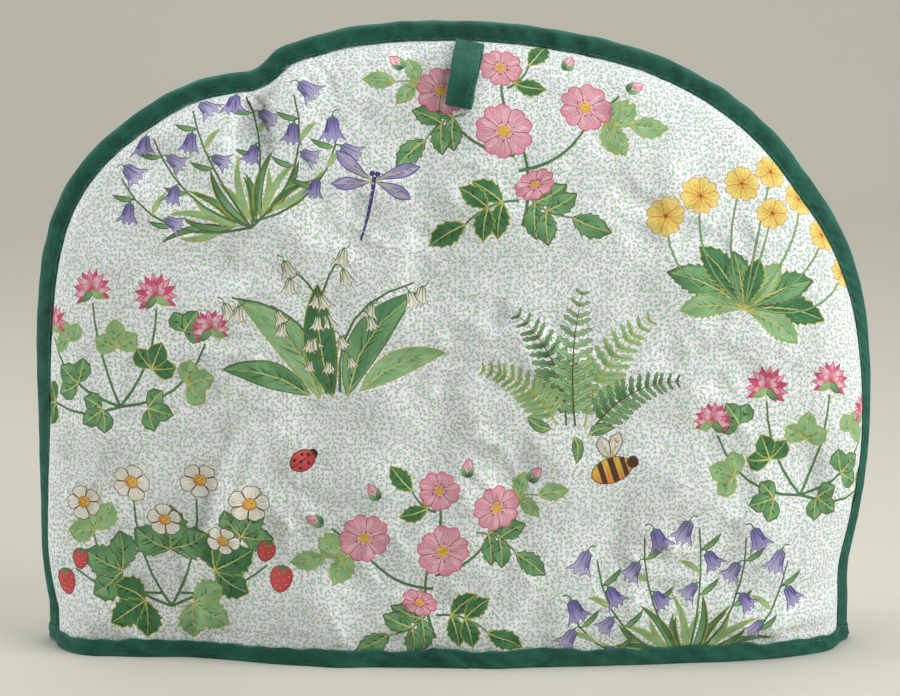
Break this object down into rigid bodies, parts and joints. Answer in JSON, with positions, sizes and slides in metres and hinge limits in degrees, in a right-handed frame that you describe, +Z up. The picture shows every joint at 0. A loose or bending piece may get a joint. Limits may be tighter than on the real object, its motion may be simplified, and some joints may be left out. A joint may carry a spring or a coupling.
{
  "type": "tea cosy",
  "caption": "Padded cotton tea cosy with a floral print, dark green bound edges and a hanging loop, standing open on its hem.",
  "frame": {"origin": "middle of the hem's footprint, on the surface it stands on", "axes": "+Z up, +X to the right along the front, the front panel with the loop faces -Y"},
  "size_m": [0.3502, 0.0962, 0.262],
  "materials": {
    "printed_cotton": "matt woven cotton, near-white ground with a small green fleck and a printed garden-flower pattern",
    "binding_cotton": "matt dark blue-green cotton binding, fine diagonal weave, edge stitching",
    "loop_cotton": "matt dark blue-green cotton tape, folded and edge stitched"
  },
  "bodies": {
    "root": {"front_panel": "printed_cotton", "back_panel": "printed_cotton", "arch_binding": "binding_cotton", "hem_binding": "binding_cotton", "hanging_loop": "loop_cotton"}
  },
  "joints": []
}
